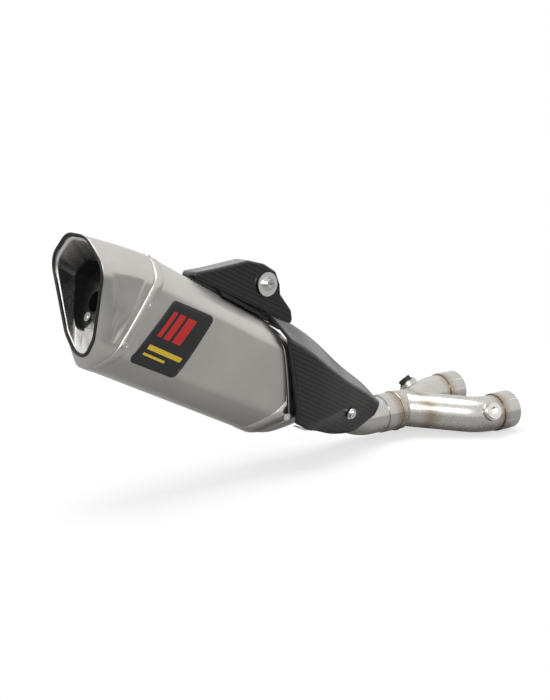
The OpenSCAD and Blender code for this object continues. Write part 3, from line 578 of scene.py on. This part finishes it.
def cap_ring(t, d):
    a, b = body_ring(0, SEAM_SLANT, d), rim_ring(d, bulge=BULGE)
    bow = CAP_BOW * math.sin(math.pi * t)
    out = []
    for p, q in zip(a, b):
        s = p.lerp(q, t)
        away = Vector((s.y, s.z)).normalized()
        out.append(pressed(s + Vector((0, away.x * bow, away.y * bow))))
    return out


CAP_STEPS = 40
cap_rings = [cap_ring(k / CAP_STEPS, 0) for k in range(CAP_STEPS + 1)]
cap_rings += [cap_ring(k / CAP_STEPS, CAP_SHEET) for k in range(CAP_STEPS, -1, -1)]
sheet_metal("end_cap_shell", cap_rings, titanium, nodes=["end_cap"])

# ---- Outlet ----
# A rolled lip round the mouth, its black a painted dark reflection, a polished funnel inside it and a
# black throat with the removable noise damper held by one screw.
# The lip's near-black colour is a painted dark reflection; the throat pieces share this black.
black_steel_and_painted_lip_reflection = Finish("black_steel_and_painted_lip_reflection", (0.012, 0.012, 0.013), 0, 0.32, silencer_place)
black_steel_and_painted_lip_reflection.bump(black_steel_and_painted_lip_reflection.noise(black_steel_and_painted_lip_reflection.place(), 800.0), 0.08, 0.0002)
lip_rings = []
for k in range(13):
    a = math.radians(15 * k)
    lip_rings.append(rim_ring(0.9 - 1.5 * math.cos(a), 1.6 + 1.4 * math.sin(a)))
lip_rings += [rim_ring(2.4, 0.3), rim_ring(-0.6, 0.3)]
sheet_metal("mouth_lip", lip_rings, black_steel_and_painted_lip_reflection, slot="black_steel", nodes=["outlet_lip"])

THROAT_BACK = 33
THROAT_SHIFT = 4
THROAT_HEX = hexagon(32, 20, 49, -27, 34, -12, 15, 9)


def throat_ring(back, d, slant):
    shape = [p + Vector((THROAT_SHIFT, 0)) for p in inset(THROAT_HEX, d)]
    return station(-back, slant, 0, outline(shape, 9 - d))


def between(a, b, t):
    return [p.lerp(q, t) for p, q in zip(a, b)]


mirror = Finish("polished_funnel", (0.72, 0.71, 0.69), 1.0, 0.25, silencer_place)
swirl = mirror.noise(mirror.place(), 30.0, 3.0)
mirror.set("Roughness", mirror.node("MapRange", Value=swirl, To_Min=0.2, To_Max=0.32).outputs[0])
mirror.bump(swirl, 0.08, 0.001)
FUNNEL_STEPS = 8
funnel_shares = [k / FUNNEL_STEPS for k in range(FUNNEL_STEPS + 1)]
mouth_in, mouth_out = rim_ring(2.4, -0.4), rim_ring(3.8, -0.4)
throat_in, throat_out = (throat_ring(THROAT_BACK, d, -SEAM_SLANT) for d in (-1.2, 0))
funnel_in = [between(mouth_in, throat_in, t) for t in funnel_shares]
funnel_out = [between(mouth_out, throat_out, t) for t in reversed(funnel_shares)]
sheet_metal("funnel", funnel_in + funnel_out, mirror, slot="polished", nodes=["outlet_funnel"])
COLLAR_BACK = 32.7
COLLAR_FRONT = 22.5
throat_rings = [throat_ring(COLLAR_BACK, -1.2, -SEAM_SLANT), throat_ring(COLLAR_FRONT, -1.2, 0),
                throat_ring(COLLAR_FRONT, 0, 0), throat_ring(COLLAR_BACK, 0, -SEAM_SLANT)]
sheet_metal("throat_wall", throat_rings, black_steel_and_painted_lip_reflection, slot="black_steel", nodes=["throat_collar"], smooth=False)
finish_nodes(black_steel_and_painted_lip_reflection, "throat_plate", "noise_damper")
finish_nodes(bright_steel, "damper_screw")

# ---- Rivets ----
# Blind rivets of bright steel, set from outside, hold both straps on the sleeve.
finish_nodes(bright_steel, "rear_rivets", "front_rivets", "top_rivet")

# ---- Badge ----
# A thin heat-proof plate stuck on the outer flank and bent to its bulge. It is black, printed with
# plain slanted red bars over two yellow stripes.
BADGE_BLACK = (0.012, 0.012, 0.014)
BADGE_LEAN = 0.33
badge_print = Finish("badge_print", BADGE_BLACK, 0, 0.34, silencer_place)
badge_parts = badge_print.node("SeparateXYZ", Vector=badge_print.place())
badge_up = badge_parts.outputs["Z"]
badge_along = badge_print.math("SUBTRACT", badge_parts.outputs["X"],
                               badge_print.math("MULTIPLY", badge_up, BADGE_LEAN))


def printed(ground, tone, along, up):
    """Prints a slanted bar between two places along the badge and two heights."""
    mask = None
    for value, (low, high) in ((badge_along, along), (badge_up, up)):
        for test, edge in (("GREATER_THAN", low), ("LESS_THAN", high)):
            side = badge_print.math(test, value, edge * MM)
            mask = side if mask is None else badge_print.math("MULTIPLY", mask, side)
    mixed = badge_print.node("Mix", {"data_type": "RGBA"}, i0=mask, i7=(*tone, 1))
    if isinstance(ground, tuple):
        mixed.inputs[6].default_value = (*ground, 1)
    else:
        badge_print.tree.links.new(ground, mixed.inputs[6])
    return mixed.outputs[2]


RED = (0.55, 0.02, 0.015)
YELLOW = (0.72, 0.50, 0.03)
ink = BADGE_BLACK
for along in ((39, 45), (49, 58), (62, 75)):
    ink = printed(ink, RED, along, (-6, 28))
for along, up in (((39, 90), (-24, -18)), ((39, 72), (-32, -29))):
    ink = printed(ink, YELLOW, along, up)
badge_print.set("Base Color", ink)
badge_print.bump(badge_print.noise(badge_print.place(), 500.0), 0.05, 0.0003)
BADGE_CENTRE = Vector((61, 0))
badge_edge = outline([Vector(p) for p in ((43, 40), (15, -45), (86, -43), (108, 42))], 6)
flank = BVHTree.FromObject(sleeve, bpy.context.evaluated_depsgraph_get())
into_silencer = silencer_place.inverted()
across = silencer_place.to_3x3() @ Vector((0, 1, 0))
WELL_OUTSIDE = -200


def filled(name, rings, finish, **more):
    """Like sheet_metal, with the first and the last ring closed by a flat face."""
    made = sheet_metal(name, rings, finish, close=False, **more)
    work = bmesh.new()
    work.from_mesh(made.data)
    edges = [e for e in work.edges if e.is_boundary]
    caps = bmesh.ops.edgeloop_fill(work, edges=edges)["faces"]
    bmesh.ops.triangulate(work, faces=caps)
    bmesh.ops.recalc_face_normals(work, faces=work.faces)
    work.to_mesh(made.data)
    work.free()


def badge_ring(share, lift):
    """The badge's outline shrunk to a share of its size and laid on the bulged flank."""
    ring = []
    for p in badge_edge:
        q = BADGE_CENTRE.lerp(p, share)
        start = silencer_place @ (Vector((q.x, WELL_OUTSIDE, q.y)) * MM)
        hit = into_silencer @ flank.ray_cast(start, across)[0]
        ring.append(Vector((q.x, hit.y / MM - lift, q.y)))
    return ring


badge_rings = [badge_ring(1, 0.05), badge_ring(1, 0.75)]
badge_rings += [badge_ring(k / 12, 0.9) for k in (11.9, 10, 8, 6, 4, 2, 0.4)]
filled("badge_plate", badge_rings, badge_print, slot="badge_black", nodes=["badge"])

# ---- Hanger bracket ----
# A moulded carbon box bracket, screwed to two titanium bosses on the sleeve's crown over a rubber
# strip. Its skin is a diagonal twill under clear resin. The hanger bolt passes through its flanged
# aluminium collar, which sits in a rubber grommet.
TOW = 1.9


def twill(name, gloss):
    """Two by two twill seen from the side, each thread a rounded ridge, its colour holding painted sheen and
    shade.
    """
    made = Finish(name, (0.02, 0.02, 0.022), 0, gloss, silencer_place)
    parts = made.node("SeparateXYZ", Vector=made.place())
    a, b = parts.outputs["X"], parts.outputs["Z"]
    size = 1 / (TOW * MM * math.sqrt(2))
    u = made.math("MULTIPLY", made.math("ADD", a, b), size)
    v = made.math("MULTIPLY", made.math("SUBTRACT", a, b), size)
    step = made.math("SUBTRACT", made.math("FLOOR", u), made.math("FLOOR", v))
    over = made.math("LESS_THAN", made.math("FLOORED_MODULO", step, 4.0), 2.0)
    ridge_u = made.math("PINGPONG", u, 0.5)
    ridge_v = made.math("PINGPONG", v, 0.5)
    ridge = made.node("Mix", {"data_type": "FLOAT"}, i0=over, i2=ridge_u, i3=ridge_v).outputs[0]
    # Painted sheen: threads of one direction are coloured far lighter. Painted shade and highlight: each
    # thread is darker at its edges, lighter on its crown.
    tone = made.node("Mix", {"data_type": "FLOAT"}, i0=over, i2=0.15, i3=1.0).outputs[0]
    painted_sheen_and_shade = made.math("MULTIPLY", tone, made.math("ADD", ridge, 0.5))
    made.set("Base Color", made.ramp(painted_sheen_and_shade, [(0.0, (0.002, 0.002, 0.002)), (1.0, (0.022, 0.0215, 0.021))]))
    made.bump(ridge, 0.35, 0.0005)
    made.shader.inputs["Specular IOR Level"].default_value = 0.25
    made.shader.inputs["Coat Weight"].default_value = 0.5
    made.shader.inputs["Coat Roughness"].default_value = 0.12
    return made


carbon_side = twill("carbon_side", 0.28)
rubber = Finish("black_rubber", (0.012, 0.012, 0.012), 0, 0.75, silencer_place)
rubber.bump(rubber.noise(rubber.place(), 600.0), 0.25, 0.0004)
turned = Finish("turned_aluminium", (0.80, 0.80, 0.79), 1.0, 0.26)
turned.bump(turned.noise(turned.stretched((300, 20, 300)), 5.0), 0.1, 0.0002)
finish_nodes(rubber, "bracket_pad", "hanger_grommet")
finish_nodes(turned, "hanger_collar")

BRACKET_OUT = 8.0
BRACKET_DEEP = 26.0
CARBON_T = 2.4
FACE = [Vector(p) for p in ((262, 80), (250, 98), (225, 110), (219, 121), (206, 133), (185, 135),
                            (160, 130), (110, 99), (76, 80))]
FILLET = 3.0


BRACKET_CORNER = 6
LEAST_CORNER = 1.5


def bracket_ring(d, y):
    radius = max(BRACKET_CORNER - d, LEAST_CORNER)
    return [Vector((p.x, y - BRACKET_OUT, p.y)) for p in outline(inset(FACE, d), radius, 6, 5)]


bracket_rings = []
for a in EDGE_ARC:
    bracket_rings.append(bracket_ring(FILLET * (1 - math.sin(a)), FILLET * (1 - math.cos(a))))
bracket_rings += [bracket_ring(0, BRACKET_DEEP - 0.6), bracket_ring(0.6, BRACKET_DEEP),
                  bracket_ring(CARBON_T, BRACKET_DEEP), bracket_ring(CARBON_T, CARBON_T)]
filled("hanger_bracket", bracket_rings, carbon_side, slot="carbon", nodes=["carbon_bracket"])
finish_nodes(carbon_side, "bracket_foot")
finish_nodes(titanium, "bracket_bosses")
finish_nodes(bright_steel, "hanger_bolt", "hanger_washer", "bracket_screws")

# ---- Heat shield ----
# An open shell moulded in carbon over the outer side of the cone. Black rubber edges it beside the sleeve,
# partly real trim and partly painted shade of the gap there; one bolt with a washer and a spring clip hold
# it.
SHIELD_T = 2.2
SHIELD_CORNER = 9
SHIELD_ROWS = [
    (163, 8, [(0, 44), (-14, 43), (-30, 36), (-32, 27), (-31, 17)]),
    (139, 0, [(2, 53), (-12, 53), (-33, 39), (-37, 20), (-32, -12)]),
    (101, -8, [(4, 61), (-14, 61), (-41, 41), (-47, 8), (-34, -27)]),
    (61, -16, [(4, 75), (-16, 74), (-50, 46), (-54, -16), (-38, -33)]),
    (33, -24, [(-13, 81), (-22, 78), (-53, 52), (-55, -24), (-46, -37)]),
    (5, -33, [(-13, 80), (-22, 77), (-52, 57), (-55, -22), (-49, -36)])]


def inset_line(points, d):
    """Open line moved to its inner side by d."""
    out = []
    last = len(points) - 1
    for i, p in enumerate(points):
        a = (points[max(i, 1)] - points[max(i - 1, 0)]).normalized()
        b = (points[min(i + 1, last)] - points[min(i, last - 1)]).normalized()
        a, b = Vector((-a.y, a.x)), Vector((-b.y, b.x))
        out.append(p + (a + b) * (d / (1 + a.dot(b))))
    return out


def rounded_line(points, radius, arc=6, flat=5):
    """Open line with its inner corners rounded and its straight runs divided."""
    runs = [[points[0]]]
    for i in range(1, len(points) - 1):
        p = points[i]
        u, v = points[i - 1] - p, points[i + 1] - p
        half = u.angle(v) / 2
        d = min(radius / math.tan(half), 0.48 * u.length, 0.48 * v.length)
        r = d * math.tan(half)
        centre = p + (u.normalized() + v.normalized()).normalized() * (r / math.sin(half))
        start, end = p + u.normalized() * d - centre, p + v.normalized() * d - centre
        a0, a1 = math.atan2(start.y, start.x), math.atan2(end.y, end.x)
        turn = (a1 - a0 + 3 * math.pi) % (2 * math.pi) - math.pi
        runs.append([centre + Vector((math.cos(a0 + turn * k / arc), math.sin(a0 + turn * k / arc))) * r
                     for k in range(arc + 1)])
    runs.append([points[-1]])
    out = []
    for run, after in zip(runs, runs[1:]):
        out += run
        out += [run[-1].lerp(after[0], k / flat) for k in range(1, flat)]
    return out + runs[-1]


def smooth_rows(values, t):
    """Value at t along evenly counted rows, on a smooth curve through them."""
    i = min(int(t), len(values) - 2)
    s = t - i
    p1, p2 = values[i], values[i + 1]
    p0 = values[i - 1] if i > 0 else p1 * 2 - p2
    p3 = values[i + 2] if i + 2 < len(values) else p2 * 2 - p1
    return (p1 * 2 + (p2 - p0) * s + (p0 * 2 - p1 * 5 + p2 * 4 - p3) * s * s
            + (p1 * 3 - p0 - p2 * 3 + p3) * s * s * s) * 0.5


def shield_line(t, d, shift=0.0):
    """The shield's line at the place t along its rows."""
    x = smooth_rows([row[0] for row in SHIELD_ROWS], t)
    slant = smooth_rows([row[1] for row in SHIELD_ROWS], t)
    points = [smooth_rows([Vector(row[2][k]) for row in SHIELD_ROWS], t) for k in range(5)]
    return station(SLEEVE_LEN + x + shift, slant, 0, rounded_line(inset_line(points, d), SHIELD_CORNER))


SHIELD_STEPS = 40
outer_lines = [shield_line(5 - 5 * k / SHIELD_STEPS, 0) for k in range(SHIELD_STEPS + 1)]
inner_lines = [shield_line(5 - 5 * k / SHIELD_STEPS, SHIELD_T) for k in range(SHIELD_STEPS + 1)]
shield_rings = [a + b[::-1] for a, b in zip(outer_lines, inner_lines)]
filled("heat_shield_shell", shield_rings, carbon_side, slot="carbon", nodes=["heat_shield"])
# The black edge strip is partly a real rubber trim and partly painted shade for the shadowed gap between
# shield and sleeve.
TRIM_LAP = 0.8
trim_and_gap_shade_rings = [shield_line(5, -TRIM_LAP, s) + shield_line(5, SHIELD_T + TRIM_LAP, s)[::-1] for s in (-3, -0.3)]
filled("shield_trim_and_painted_gap_shade", trim_and_gap_shade_rings, rubber, slot="black_rubber", nodes=["shield_trim"])
finish_nodes(bright_steel, "shield_bolt", "shield_clip", "shield_washer")
